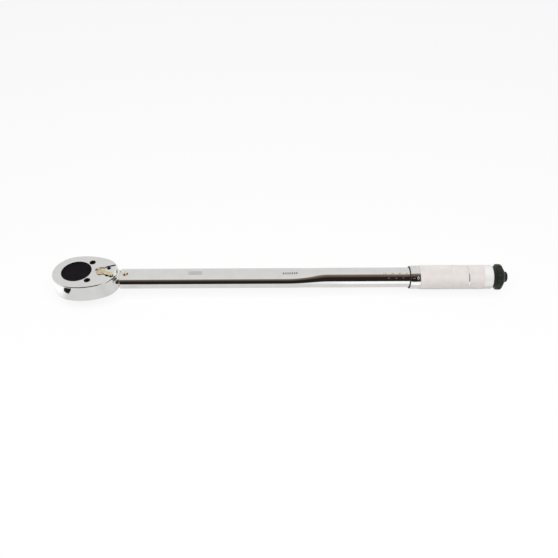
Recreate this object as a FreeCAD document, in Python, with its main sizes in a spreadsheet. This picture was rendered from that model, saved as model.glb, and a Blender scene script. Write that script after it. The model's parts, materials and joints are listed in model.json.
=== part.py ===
"""Click-type torque wrench with a reversible ratchet head and a 1/2-inch square drive.

The ratchet head ends in a long shank that swings on a pivot pin inside a swaged tube.
Behind the shank sit the click block, the plunger, the main spring and its seat, and a
screw that turns with the knurled grip sets the spring's load.  A knob at the end locks it.

Frame: +X runs from the drive towards the grip, +Z is the drive's axis pointing away from
the socket, and the origin is the centre of the drive square's end face.  Millimetres.
"""

import FreeCAD, Part
import math
import os
import types

import Sketcher

# Driving dimensions: name, value, meaning.
DIMENSIONS = [
    ("square_side", 12.7, "drive square, across flats"),
    ("square_length", 16, "drive square, end face to shoulder"),
    ("square_chamfer", 1.2, "chamfer on the square's end"),
    ("square_corner", 1.5, "radius of the square's four long edges"),
    ("head_base", 17, "height of the head's drive side above the square's end"),
    ("head_thickness", 21, "head, drive side to back"),
    ("tube_height", 27, "tube's axis above the square's end"),
    ("head_radius", 25.6, "front of the head's outline"),
    ("head_centre", -0.6, "centre of the front radius, behind the drive axis"),
    ("tail_radius", 22.8, "rear of the head's outline"),
    ("tail_centre", 21.6, "centre of the rear radius, behind the drive axis"),
    ("flank_radius", 60, "long arcs that join front and rear"),
    ("back_round", 1.4, "rounding of the head's back edge at the front and sides"),
    ("rear_round", 7, "rounding of the head's back edge over the neck"),
    ("shoulder_turn", 42, "where that rounding begins to grow, degrees from the middle"),
    ("neck_round", 2.2, "rounding where the neck leaves the head"),
    ("base_round", 3, "rounding of the head's drive-side edge"),
    ("running", 0.08, "radial clearance of turning fits"),
    ("journal_top", 16, "gear journal in the head's back wall, radius"),
    ("journal_low", 15, "gear journal in the cover plate, radius"),
    ("gear_tip", 17.6, "ratchet teeth, outside radius"),
    ("gear_root", 16.5, "ratchet teeth, root radius"),
    ("gear_teeth", 48, "number of ratchet teeth"),
    ("tip_half_angle", 0.5, "half the land on a tooth's tip, degrees"),
    ("root_half_angle", 0.9, "half the land in a tooth gap, degrees"),
    ("cavity_top", 30.8, "roof of the gear and pawl cavity"),
    ("plate_top", 20.5, "inner face of the cover plate"),
    ("plate_margin", 4.4, "wall left round the cover plate"),
    ("lever_axis", 26.1, "reversing lever's axis behind the drive axis"),
    ("lever_hub", 5.2, "reversing lever's hub radius"),
    ("lever_reach", 13.2, "lever axis to the middle of its tip"),
    ("lever_tip", 2.6, "radius of the lever's tip"),
    ("lever_floor", 37.1, "floor of the lever's recess"),
    ("lever_thick", 0.9, "thickness of the lever's hub"),
    ("lever_lift", 0.7, "height of the lever's tip over its hub"),
    ("lever_rest", -24, "lever's angle at rest, degrees"),
    ("shaft_radius", 4, "lever shaft radius"),
    ("pawl_rock", 4.5, "pawl's rocking each side of the middle, degrees"),
    ("pin_ahead", 7.9, "stop pins behind the lever axis"),
    ("recess_half", 6, "lever recess, half width 3 mm behind the lever axis"),
    ("recess_flare", 8.2, "lever recess, half width 5.5 mm behind the lever axis"),
    ("recess_far", 13, "lever recess, half width 20 mm behind the lever axis"),
    ("pin_spread", 5.6, "stop pins each side of the middle"),
    ("pin_top", 36.2, "upper ends of the stop pins"),
    ("stop_pin", 2.15, "stop pin radius"),
    ("screw_spread", 14.6, "cover screws behind and beside the drive axis"),
    ("screw_shank", 2, "cover screw shank radius"),
    ("screw_head", 3.4, "cover screw head radius"),
    ("tube_radius", 10.75, "round part of the tube, outside"),
    ("tube_wall", 1.8, "tube wall"),
    ("flat_height", 14.6, "flattened part of the tube, thickness"),
    ("flat_width", 25.1, "flattened part of the tube, width"),
    ("flat_bend", 1.1, "half the angle of the flats' slight crown, degrees"),
    ("tube_front", 46.8, "front end of the tube"),
    ("swage_front", 226.5, "where the flattened part starts to turn round"),
    ("swage_rear", 272, "where the tube is fully round"),
    ("tube_rear", 413.6, "rear end of the tube"),
    ("nut_pin_place", 404, "pins through the end nut, behind the drive axis"),
    ("nut_pin", 1.5, "end nut pin radius"),
    ("pivot_place", 51.8, "pivot pin behind the drive axis"),
    ("pivot_radius", 3.75, "pivot pin radius"),
    ("pin_dome", 4.1, "radius of the pivot pin's domed ends"),
    ("neck_half", 11.2, "neck, half width"),
    ("neck_rise", 6.6, "neck, half height"),
    ("shank_half", 8.5, "shank at the pivot, half width"),
    ("shank_tail", 5.5, "shank at its rear end, half width"),
    ("shank_rise", 5, "shank, half height"),
    ("shank_rear", 228.6, "rear end of the shank"),
    ("block_place", 229.6, "centre of the click block's round nose"),
    ("block_nose", 3.5, "click block, nose radius"),
    ("block_tail", 2.4, "click block, rear radius"),
    ("block_reach", 7, "click block, between its two radii"),
    ("plunger_front", 239.4, "front face of the plunger's nose"),
    ("plunger_body", 291, "where the plunger's guided part starts"),
    ("plunger_rear", 303, "shoulder that the main spring pushes on"),
    ("spring_mean", 6.7, "main spring, mean radius"),
    ("spring_wire", 1.7, "main spring, wire radius"),
    ("spring_turns", 11, "main spring, turns"),
    ("seat_front", 376, "spring seat's face under the main spring"),
    ("screw_front", 387.3, "front end of the adjusting screw"),
    ("screw_radius", 6, "adjusting screw radius"),
    ("grip_front", 360, "front edge of the grip"),
    ("grip_rear", 449.2, "rear face of the grip"),
    ("grip_bore", 11.05, "bore of the grip, radius"),
    ("seal_reach", 0.8, "how far the seal stands out in front of the grip"),
    ("collar_radius", 12.65, "smooth scale collar at the grip's front"),
    ("knurl_radius", 13.2, "knurled bands, outside radius"),
    ("knurl_start", 370.8, "front of the first knurled band"),
    ("knurl_end", 439.5, "rear of the last knurled band"),
    ("groove_one", 405.4, "first groove between knurled bands"),
    ("groove_two", 422.6, "second groove between knurled bands"),
    ("groove_half", 0.5, "half width of a groove"),
    ("groove_deep", 0.4, "depth of a groove"),
    ("knob_front", 449.8, "front face of the lock knob"),
    ("knob_rear", 462.9, "rear face of the lock knob"),
    ("knob_radius", 14, "lock knob over its lobes"),
    ("knob_lobes", 10, "number of lobes"),
    ("plug_rear", 466.2, "rear face of the knob's plug"),
    ("plug_radius", 5.7, "knob plug radius"),
]


class Size:
    """A number together with the spreadsheet expression that gives it."""

    def __init__(self, value, text):
        self.value = float(value)
        self.text = text

    def __add__(self, other):
        other = sized(other)
        return Size(self.value + other.value, f"({self.text} + {other.text})")

    def __sub__(self, other):
        other = sized(other)
        return Size(self.value - other.value, f"({self.text} - {other.text})")

    def __mul__(self, other):
        other = sized(other)
        return Size(self.value * other.value, f"({self.text} * {other.text})")

    def __truediv__(self, other):
        other = sized(other)
        return Size(self.value / other.value, f"({self.text} / {other.text})")

    def __neg__(self):
        return Size(-self.value, f"(0 - {self.text})")

    def __radd__(self, other):
        return sized(other) + self

    def __rsub__(self, other):
        return sized(other) - self

    def __rmul__(self, other):
        return sized(other) * self


def sized(value):
    """A plain number as a Size."""
    return value if isinstance(value, Size) else Size(value, f"{float(value):.6g}")


def sine(angle):
    """Sine of a Size in degrees."""
    return Size(math.sin(math.radians(angle.value)), f"sin({angle.text} * 1 deg)")


def cosine(angle):
    """Cosine of a Size in degrees."""
    return Size(math.cos(math.radians(angle.value)), f"cos({angle.text} * 1 deg)")


doc = FreeCAD.newDocument("torque_wrench")
sheet = doc.addObject("Spreadsheet::Sheet", "dims")
for row, (alias, value, meaning) in enumerate(DIMENSIONS, start=1):
    sheet.set(f"A{row}", alias)
    sheet.set(f"B{row}", str(value))
    sheet.setAlias(f"B{row}", alias)
    sheet.set(f"C{row}", meaning)
doc.recompute()
d = types.SimpleNamespace(**{a: Size(v, f"dims.{a}") for a, v, _ in DIMENSIONS})

axis_height = d.tube_height
back_face = d.head_base + d.head_thickness
sub_parts = []


# --- helpers -------------------------------------------------------------------------


def bind(obj, prop, size):
    """Drives a property from the spreadsheet."""
    obj.setExpression(prop, sized(size).text)


TURNS = {
    "Z": FreeCAD.Rotation(),
    "X": FreeCAD.Rotation(FreeCAD.Vector(0, 1, 0), 90),
    "Y": FreeCAD.Rotation(FreeCAD.Vector(1, 0, 0), -90),
    "-X": FreeCAD.Rotation(FreeCAD.Vector(0, 1, 0), -90),
}


def put(obj, at=(0, 0, 0), along="Z", turn=None):
    """Places an object, with its local Z along the named axis or its own rotation."""
    at = [sized(v) for v in at]
    spin = turn if turn is not None else TURNS[along]
    base = FreeCAD.Vector(*[v.value for v in at])
    obj.Placement = FreeCAD.Placement(base, spin)
    for letter, size in zip("xyz", at):
        obj.setExpression(f"Placement.Base.{letter}", size.text)
    return obj


def made(kind, name, **sizes):
    """A Part primitive with its sizes bound."""
    obj = doc.addObject(kind, name)
    for prop, size in sizes.items():
        bind(obj, prop, size)
    return obj


def rod(name, radius, length, at=(0, 0, 0), along="Z"):
    """A cylinder that starts at a point."""
    return put(made("Part::Cylinder", name, Radius=radius, Height=length), at, along)


def taper(name, first, second, length, at=(0, 0, 0), along="Z"):
    """A truncated cone that starts at a point."""
    cone = made("Part::Cone", name, Radius1=first, Radius2=second, Height=length)
    return put(cone, at, along)


def block(name, sides, at):
    """A box from its lowest corner."""
    sides = dict(zip(("Length", "Width", "Height"), sides))
    return put(made("Part::Box", name, **sides), at)


def joined(name, shapes):
    """One solid from several."""
    obj = doc.addObject("Part::MultiFuse", name)
    obj.Shapes = shapes
    obj.Refine = True
    return obj


def less(name, base, tools):
    """A solid with tools cut away."""
    obj = doc.addObject("Part::Cut", name)
    obj.Base = base
    obj.Tool = tools[0] if len(tools) == 1 else joined(name + "_tools", tools)
    obj.Refine = True
    return obj


def rounded(name, base, radius, wanted):
    """Rounds the edges that wanted(edge) picks; radius may depend on the edge's end point."""
    at = radius if callable(radius) else lambda point: radius
    doc.recompute()
    edges = []
    for i, edge in enumerate(base.Shape.Edges, start=1):
        if wanted(edge):
            ends = (edge.firstVertex().Point, edge.lastVertex().Point)
            edges.append((i, *[at(point).value for point in ends]))
    obj = doc.addObject("Part::Fillet", name)
    obj.Base = base
    obj.Edges = edges
    return obj


def keep(label, obj):
    """Registers an object as a sub-part under its label."""
    obj.Label = label
    sub_parts.append(obj)
    return obj


def new_body(label):
    """A PartDesign body that is a sub-part."""
    return keep(label, doc.addObject("PartDesign::Body", label))


def new_sketch(plane, body=None, offset=None):
    """A sketch on an origin plane, in a body or free, moved along the plane's normal."""
    if body is None:
        sketch = doc.addObject("Sketcher::SketchObject", "sketch")
        turns = {
            "XY_Plane": FreeCAD.Rotation(),
            "YZ_Plane": FreeCAD.Rotation(0.5, 0.5, 0.5, 0.5),
        }
        sketch.Placement = FreeCAD.Placement(FreeCAD.Vector(), turns[plane])
        if offset is not None:
            letter = {"XY_Plane": "z", "YZ_Plane": "x"}[plane]
            bind(sketch, f"Placement.Base.{letter}", offset)
        return sketch
    sketch = body.newObject("Sketcher::SketchObject", "sketch")
    origin = [f for f in body.Origin.OriginFeatures if f.Role == plane][0]
    sketch.AttachmentSupport = [(origin, "")]
    sketch.MapMode = "FlatFace"
    if offset is not None:
        bind(sketch, "AttachmentOffset.Base.z", offset)
    return sketch


def pin_point(sketch, geo, pos, x, y):
    """Fixes a point of a sketch at bound coordinates."""
    for kind, size, axis in (("DistanceX", sized(x), -2), ("DistanceY", sized(y), -1)):
        if size.text == "0":
            sketch.addConstraint(Sketcher.Constraint("PointOnObject", geo, pos, axis))
            continue
        index = sketch.addConstraint(
            Sketcher.Constraint(kind, -1, 1, geo, pos, size.value)
        )
        sketch.setExpression(f"Constraints[{index}]", size.text)


def polygon(sketch, corners):
    """A closed outline of straight lines with every corner bound."""
    points = [FreeCAD.Vector(sized(x).value, sized(y).value, 0) for x, y in corners]
    count = len(points)
    first = sketch.GeometryCount
    for i in range(count):
        sketch.addGeometry(Part.LineSegment(points[i], points[(i + 1) % count]), False)
    for i in range(count):
        after = first + (i + 1) % count
        sketch.addConstraint(Sketcher.Constraint("Coincident", first + i, 2, after, 1))
    for i, (x, y) in enumerate(corners):
        pin_point(sketch, first + i, 1, x, y)
    return sketch


def circle(sketch, x, y, radius):
    """A circle with bound centre and radius."""
    centre = FreeCAD.Vector(sized(x).value, sized(y).value, 0)
    up = FreeCAD.Vector(0, 0, 1)
    geo = sketch.addGeometry(Part.Circle(centre, up, sized(radius).value), False)
    pin_point(sketch, geo, 3, x, y)
    index = sketch.addConstraint(Sketcher.Constraint("Radius", geo, sized(radius).value))
    sketch.setExpression(f"Constraints[{index}]", sized(radius).text)
    return sketch


def add_arc(sketch, centre, radius, start, stop):
    """An arc from one angle to another, anticlockwise, in radians."""
    whole = Part.Circle(FreeCAD.Vector(*centre, 0), FreeCAD.Vector(0, 0, 1), radius)
    return sketch.addGeometry(Part.ArcOfCircle(whole, start, stop), False)


def set_radius(sketch, geo, size):
    """Binds an arc's radius."""
    index = sketch.addConstraint(Sketcher.Constraint("Radius", geo, size.value))
    sketch.setExpression(f"Constraints[{index}]", size.text)


def tapered_slot(sketch, first, first_radius, second, second_radius):
    """Two circles joined by their outer tangents."""
    (ax, ay), (bx, by) = [[sized(v) for v in p] for p in (first, second)]
    r1, r2 = sized(first_radius), sized(second_radius)
    run, rise = bx.value - ax.value, by.value - ay.value
    heading = math.atan2(rise, run)
    lean = math.acos((r1.value - r2.value) / math.hypot(run, rise))
    a, b = heading + lean, heading - lean
    one = add_arc(sketch, (ax.value, ay.value), r1.value, a, b + 2 * math.pi)
    two = add_arc(sketch, (bx.value, by.value), r2.value, b, a)
    ends = []
    for angle in (a, b):
        way = FreeCAD.Vector(math.cos(angle), math.sin(angle), 0)
        near = FreeCAD.Vector(ax.value, ay.value, 0) + way * r1.value
        far = FreeCAD.Vector(bx.value, by.value, 0) + way * r2.value
        ends.append(sketch.addGeometry(Part.LineSegment(near, far), False))
    upper, lower = ends
    for pair in ((one, 1, upper, 1), (upper, 2, two, 2), (two, 1, lower, 2), (lower, 1, one, 2)):
        sketch.addConstraint(Sketcher.Constraint("Tangent", *pair))
    pin_point(sketch, one, 3, ax, ay)
    pin_point(sketch, two, 3, bx, by)
    set_radius(sketch, one, r1)
    set_radius(sketch, two, r2)
    return sketch


def head_outline(sketch, inset):
    """The head's egg-shaped outline, moved inwards by inset."""
    front, rear = d.head_radius - inset, d.tail_radius - inset
    flank = d.flank_radius - inset
    gap = (d.tail_centre - d.head_centre).value
    shoulder = math.radians(d.shoulder_turn.value)
    to_front = flank.value - front.value
    to_rear = flank.value - rear.value
    cx = (gap**2 + to_front**2 - to_rear**2) / (2 * gap)
    cy = math.sqrt(to_front**2 - cx**2)
    at_front = math.atan2(cy, cx)
    at_rear = math.atan2(cy, cx - gap)
    # The flank arcs' centres lie across the middle line, so each touches on the far side.
    front_touch = math.atan2(cy, -cx)
    rear_touch = math.atan2(cy, gap - cx)
    start, tail = d.head_centre.value, d.tail_centre.value
    front_arc = add_arc(sketch, (start, 0), front.value, front_touch, 2 * math.pi - front_touch)
    # The rear arc is in four pieces, so that its edge can be rounded more in the middle.
    turns = (-rear_touch, -shoulder, 0, shoulder, rear_touch)
    rears = [
        add_arc(sketch, (tail, 0), rear.value, begin, end) for begin, end in zip(turns, turns[1:])
    ]
    upper = add_arc(sketch, (start + cx, -cy), flank.value, rear_touch, front_touch)
    lower = add_arc(sketch, (start + cx, cy), flank.value, -front_touch, -rear_touch)
    for pair in (
        (rears[3], 2, upper, 1),
        (upper, 2, front_arc, 1),
        (front_arc, 2, lower, 1),
        (lower, 2, rears[0], 1),
    ):
        sketch.addConstraint(Sketcher.Constraint("Tangent", *pair))
    for low, high in zip(rears, rears[1:]):
        sketch.addConstraint(Sketcher.Constraint("Coincident", low, 2, high, 1))
    sketch.addConstraint(Sketcher.Constraint("PointOnObject", rears[2], 1, -1))
    reach = rear * sine(d.shoulder_turn)
    for geo, side in ((rears[1], -1), (rears[3], 1)):
        index = sketch.addConstraint(
            Sketcher.Constraint("DistanceY", -1, 1, geo, 1, side * reach.value)
        )
        sketch.setExpression(f"Constraints[{index}]", (reach * side).text)
    for arc in rears:
        pin_point(sketch, arc, 3, d.tail_centre, 0)
    for geo, size in ((front_arc, front), (rears[0], rear), (upper, flank), (lower, flank)):
        set_radius(sketch, geo, size)
    return sketch


def rounded_square(sketch, inset):
    """The drive square's outline with rounded corners, moved inwards by inset."""
    half, radius = d.square_side / 2 - inset, d.square_corner
    flat = half - radius
    arcs = []
    for i, (x, y) in enumerate(((1, 1), (-1, 1), (-1, -1), (1, -1))):
        centre = (x * flat.value, y * flat.value)
        start = i * math.pi / 2
        arcs.append(add_arc(sketch, centre, radius.value, start, start + math.pi / 2))
        pin_point(sketch, arcs[-1], 3, x * flat, y * flat)
        set_radius(sketch, arcs[-1], radius)
    for i, arc in enumerate(arcs):
        angle = (i + 1) * math.pi / 2
        way = FreeCAD.Vector(math.cos(angle), math.sin(angle), 0)
        side = FreeCAD.Vector(-way.y, way.x, 0)
        start = way * half.value - side * flat.value
        line = sketch.addGeometry(Part.LineSegment(start, start + side * 2 * flat.value), False)
        sketch.addConstraint(Sketcher.Constraint("Tangent", arc, 2, line, 1))
        sketch.addConstraint(Sketcher.Constraint("Tangent", line, 2, arcs[(i + 1) % 4], 1))
    return sketch


def extruded(name, sketch, length):
    """A free sketch pulled along its own normal."""
    obj = doc.addObject("Part::Extrusion", name)
    obj.Base = sketch
    obj.DirMode = "Normal"
    obj.Solid = True
    bind(obj, "LengthFwd", length)
    return obj


def padded(body, sketch, length):
    """A PartDesign pad."""
    pad = body.newObject("PartDesign::Pad", "pad")
    pad.Profile = sketch
    bind(pad, "Length", length)
    sketch.Visibility = False
    return pad


def pocketed(body, sketch, length, back=False):
    """A PartDesign pocket; back turns it towards the sketch's normal."""
    pocket = body.newObject("PartDesign::Pocket", "pocket")
    pocket.Profile = sketch
    pocket.Reversed = back
    bind(pocket, "Length", length)
    return pocket


def turned(body, plane, corners, groove=False):
    """A solid of revolution about the sketch's horizontal or vertical axis.

    The XZ plane turns about X, with corners as (x, radius); the YZ plane about Z, with
    corners as (radius, z).
    """
    sketch = polygon(new_sketch(plane, body), corners)
    kind = "PartDesign::Groove" if groove else "PartDesign::Revolution"
    feature = body.newObject(kind, "turned")
    feature.Profile = sketch
    feature.ReferenceAxis = (sketch, ["H_Axis" if plane == "XZ_Plane" else "V_Axis"])
    feature.Angle = 360
    return feature


def repeated(body, feature, role, count):
    """Repeats a feature evenly round an axis of its body."""
    pattern = body.newObject("PartDesign::PolarPattern", "ring")
    pattern.Originals = [feature]
    axis = [f for f in body.Origin.OriginFeatures if f.Role == role][0]
    pattern.Axis = (axis, [""])
    pattern.Angle = 360
    pattern.Occurrences = count
    body.Tip = pattern
    return pattern


def on_axis(body):
    """Lifts a body made round the X axis to the tube's axis."""
    put(body, (0, 0, axis_height))
    return body


def wire_helix(label, mean, wire, rise, turns):
    """Round wire wound in a helix that rises from the origin."""
    spine = made("Part::Helix", label + "_spine", Radius=mean)
    bind(spine, "Pitch", rise / turns)
    bind(spine, "Height", rise)
    profile = made("Part::Circle", label + "_wire", Radius=wire)
    put(profile, (mean, 0, 0), turn=FreeCAD.Rotation(FreeCAD.Vector(1, 0, 0), 90))
    sweep = doc.addObject("Part::Sweep", label + "_sweep")
    sweep.Sections = [profile]
    sweep.Spine = (spine, ["Edge1"])
    sweep.Solid = True
    sweep.Frenet = True
    return sweep


def ground_spring(label, mean, wire, length, turns):
    """A compression spring with its ends ground flat, one wire radius above the origin."""
    sweep = wire_helix(label, mean, wire, length + 2 * sized(wire), turns)
    limit = rod(label + "_ends", mean + 2 * sized(wire), length, (0, 0, wire))
    spring = doc.addObject("Part::Common", label)
    spring.Base = sweep
    spring.Tool = limit
    return spring


# --- ratchet head --------------------------------------------------------------------


def stadium_outline(half_width, half_height, place):
    """A flat shape with round sides, square to the tube's axis and centred on it."""
    reach = half_width - half_height
    sketch = new_sketch("YZ_Plane", offset=place)
    left, right = (-reach, axis_height), (reach, axis_height)
    return tapered_slot(sketch, left, half_height, right, half_height)


def on_neck_joint(edge, rear):
    """Whether an edge is part of the line where the neck leaves the head's rear wall."""
    box = edge.BoundBox
    height = axis_height.value
    rise, half = d.neck_rise.value + 0.01, d.neck_half.value + 0.01
    inside = abs(box.YMin) < half and abs(box.YMax) < half
    level = box.ZMin > height - rise and box.ZMax < height + rise
    return inside and level and rear - 6 < box.XMin and box.XMax < rear + 0.01


def ratchet_head():
    """Forged head with its neck and the shank that runs back inside the tube."""
    top = back_face.value
    egg = extruded(
        "head_egg", head_outline(new_sketch("XY_Plane", offset=d.head_base), 0), d.head_thickness
    )
    rear = (d.tail_centre + d.tail_radius).value
    egg = rounded(
        "head_back_edge",
        egg,
        lambda point: d.rear_round if point.x > rear - 0.01 else d.back_round,
        lambda e: e.BoundBox.ZMin > top - 0.01,
    )
    floor = d.head_base.value
    egg = rounded(
        "head_base_edge", egg, d.base_round, lambda e: e.BoundBox.ZMax < floor + 0.01
    )
    neck_start = d.tail_centre + 10
    neck_shape = stadium_outline(d.neck_half, d.neck_rise, neck_start)
    neck = extruded("neck", neck_shape, d.tube_front - 0.9 - neck_start)
    shank = doc.addObject("Part::Loft", "shank")
    shank.Sections = [
        stadium_outline(d.shank_half, d.shank_rise, neck_start),
        stadium_outline(d.shank_tail, d.shank_rise, d.shank_rear),
    ]
    shank.Solid = True
    forged = rounded(
        "neck_blend",
        joined("head_and_neck", [egg, neck]),
        d.neck_round,
        lambda e: on_neck_joint(e, rear),
    )
    solid = joined("head_solid", [forged, shank])

    wall = d.cavity_top - d.plate_top
    plate_seat = extruded(
        "plate_seat",
        head_outline(new_sketch("XY_Plane", offset=d.head_base - 1), d.plate_margin - 0.05),
        d.plate_top - d.head_base + 1,
    )
    gear_room = rod("gear_room", d.gear_tip + 0.3, wall + 1, (0, 0, d.plate_top - 1))
    journal = rod("journal_bore", d.journal_top + d.running, d.head_thickness, (0, 0, d.cavity_top - 1))
    edge = d.journal_top + d.running
    mouth = taper("bore_mouth", edge, edge + 0.25, 0.25, (0, 0, back_face - 0.15))
    pawl_room = [
        pawl_sector("pawl_room", d.gear_tip + 5, 37, d.plate_top - 1, wall + 1),
        rod("hub_room", 9, wall + 1, (d.lever_axis, 0, d.plate_top - 1)),
    ]
    shaft_bore = rod("shaft_bore", d.shaft_radius + d.running, 8, (d.lever_axis, 0, d.cavity_top - 1))
    stations = (
        (d.lever_axis + 3, d.recess_half),
        (d.lever_axis + 5.5, d.recess_flare),
        (d.lever_axis + 20, d.recess_far),
    )
    low_side = [(x, -half) for x, half in stations]
    high_side = [(x, half) for x, half in reversed(stations)]
    channel = polygon(new_sketch("XY_Plane", offset=d.lever_floor), low_side + high_side)
    recess = [
        extruded("lever_channel", channel, 6),
        rod("lever_recess", d.lever_hub + 1.5, 6, (d.lever_axis, 0, d.lever_floor)),
    ]
    tools = [plate_seat, gear_room, journal, mouth, *pawl_room, shaft_bore, *recess]
    for side in (-1, 1):
        screw = (d.screw_spread, side * d.screw_spread)
        tools.append(rod("screw_hole", d.screw_shank + 0.1, 22, (*screw, d.head_base)))
        tools.append(rod("screw_sink", d.screw_head + 0.05, 6, (*screw, back_face - 3.2)))
        place = (d.lever_axis + d.pin_ahead, side * d.pin_spread, d.plate_top)
        tools.append(rod("pin_hole", d.stop_pin + 0.02, 20, place))
    tools.append(rod("pivot_bore", d.pivot_radius + d.running, 20, (d.pivot_place, 0, axis_height - 10)))
    seat = (d.block_place, 0, axis_height - 10)
    tools.append(rod("block_seat", d.block_nose + 0.1, 20, seat))
    return keep("ratchet_head", less("ratchet_head", solid, tools))


def pawl_sector(name, radius, half_angle, base, height):
    """A wedge of a disc round the drive axis that opens towards the grip."""
    disc = rod(name, radius, height, (0, 0, base))
    disc.Placement.Rotation = FreeCAD.Rotation(FreeCAD.Vector(0, 0, 1), -half_angle)
    disc.Angle = 2 * half_angle
    return disc


def cover_plate():
    """Plate on the drive side that carries the gear's lower journal."""
    plate = extruded(
        "plate_blank",
        head_outline(new_sketch("XY_Plane", offset=d.head_base), d.plate_margin),
        d.plate_top - d.head_base - 0.02,
    )
    tools = [rod("plate_bore", d.journal_low + d.running, 9, (0, 0, d.head_base - 1))]
    for side in (-1, 1):
        screw = (d.screw_spread, side * d.screw_spread, d.head_base - 1)
        tools.append(rod("plate_thread", d.screw_shank + 0.02, 9, screw))
    tools.append(rod("shaft_pilot", 2.58, 9, (d.lever_axis, 0, d.head_base - 1)))
    return keep("cover_plate", less("cover_plate", plate, tools))


def cover_screws():
    """Two screws that run from the head's back into the cover plate."""
    solids = []
    for side in (-1, 1):
        at = (d.screw_spread, side * d.screw_spread)
        shank = rod("screw_shank", d.screw_shank, 18, (*at, d.head_base + 0.6))
        head = rod("screw_cap", d.screw_head, 3, (*at, back_face - 3.15))
        whole = joined("screw_blank", [shank, head])
        socket = doc.addObject("Part::Prism", "screw_socket")
        socket.Polygon = 6
        socket.Circumradius = 1.75
        socket.Height = 4
        put(socket, (*at, back_face - 2))
        solids.append(less("cover_screw", whole, [socket]))
    group = doc.addObject("Part::Compound", "cover_screws")
    group.Links = solids
    return keep("cover_screws", group)


def stop_pins():
    """Two pins that stop the pawl's rocking; their ends show in the lever's recess."""
    pins = []
    for side in (-1, 1):
        at = (d.lever_axis + d.pin_ahead, side * d.pin_spread, d.plate_top + 0.4)
        pins.append(rod("stop_pin", d.stop_pin, d.pin_top - d.plate_top - 0.4, at))
    group = doc.addObject("Part::Compound", "pawl_stop_pins")
    group.Links = pins
    return keep("pawl_stop_pins", group)


# --- drive gear ----------------------------------------------------------------------


def drive_gear():
    """Ratchet gear in one piece with the drive square."""
    body = new_body("drive_gear")
    foot = d.square_length
    low, high = d.plate_top + 0.3, d.cavity_top - 0.3
    top = back_face - 0.3
    turned(
        body,
        "YZ_Plane",
        [
            (0, foot),
            (d.journal_low - 0.7, foot),
            (d.journal_low, foot + 0.7),
            (d.journal_low, low),
            (d.gear_tip, low),
            (d.gear_tip, high),
            (d.journal_top, high),
            (d.journal_top, top - 0.9),
            (d.journal_top - 0.9, top),
            (d.journal_top - 2.2, top),
            (d.journal_top - 2.4, top - 0.25),
            (0, top - 0.25),
        ],
    )
    nose = padded(body, rounded_square(new_sketch("XY_Plane", body, d.square_chamfer), 0), d.square_chamfer)
    nose.Reversed = True
    nose.TaperAngle = -40
    padded(body, rounded_square(new_sketch("XY_Plane", body, d.square_chamfer), 0), foot)
    ball_hole = circle(new_sketch("YZ_Plane", body, d.square_side / 2 + 0.5), 0, 7.5, 2.5)
    pocketed(body, ball_hole, 7.4)
    gap = new_sketch("XY_Plane", body, low - 0.2)
    step = sized(180) / d.gear_teeth
    out = d.gear_tip + 0.4
    narrow = d.root_half_angle
    slope = (step - d.tip_half_angle - narrow) / (d.gear_tip - d.gear_root)
    wide = narrow + slope * (out - d.gear_root)
    polygon(
        gap,
        [
            (d.gear_root * cosine(narrow), -d.gear_root * sine(narrow)),
            (out * cosine(wide), -out * sine(wide)),
            (out * cosine(wide), out * sine(wide)),
            (d.gear_root * cosine(narrow), d.gear_root * sine(narrow)),
        ],
    )
    notch = pocketed(body, gap, high - low + 0.4, back=True)
    doc.recompute()
    repeated(body, notch, "Z_Axis", int(d.gear_teeth.value))
    return body


def ball_and_spring():
    """Spring ball that holds the socket on the square."""
    half = d.square_side / 2
    ball = made("Part::Sphere", "socket_ball", Radius=2.4)
    put(ball, (half - 1.7, 0, 7.5))
    keep("socket_ball", ball)
    spring = wire_helix("socket_ball_spring", 1.6, 0.3, sized(2), 3)
    keep("socket_ball_spring", put(spring, (half - 6.45, 0, 7.5), "X"))


# --- pawl and reversing lever --------------------------------------------------------


def about_lever(shape, degrees):
    """A copy turned about the lever's axis."""
    turned_shape = shape.copy()
    turned_shape.rotate(
        FreeCAD.Vector(d.lever_axis.value, 0, 0), FreeCAD.Vector(0, 0, 1), degrees
    )
    return turned_shape


def prism(points, base, height):
    """A straight-sided solid over a list of plan points."""
    corners = [FreeCAD.Vector(x, y, base) for x, y in points]
    wire = Part.makePolygon(corners + corners[:1])
    return Part.Face(wire).extrude(FreeCAD.Vector(0, 0, height))


def gear_teeth_sector(slack, base, height):
    """The ratchet teeth that face the pawl, fattened by slack."""
    step = 360 / d.gear_teeth.value
    root = d.gear_root.value + slack
    tip = d.gear_tip.value + slack
    spread = math.degrees(slack / tip)
    land = d.tip_half_angle.value + spread
    gap = d.root_half_angle.value - spread
    points = [(0.0, 0.0)]
    for tooth in range(-8, 8):
        middle = (tooth + 0.5) * step
        for radius, angle in (
            (root, middle - step / 2 + gap),
            (tip, middle - land),
            (tip, middle + land),
            (root, middle + step / 2 - gap),
        ):
            radians = math.radians(angle)
            points.append((radius * math.cos(radians), radius * math.sin(radians)))
    return prism(points, base, height)


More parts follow.
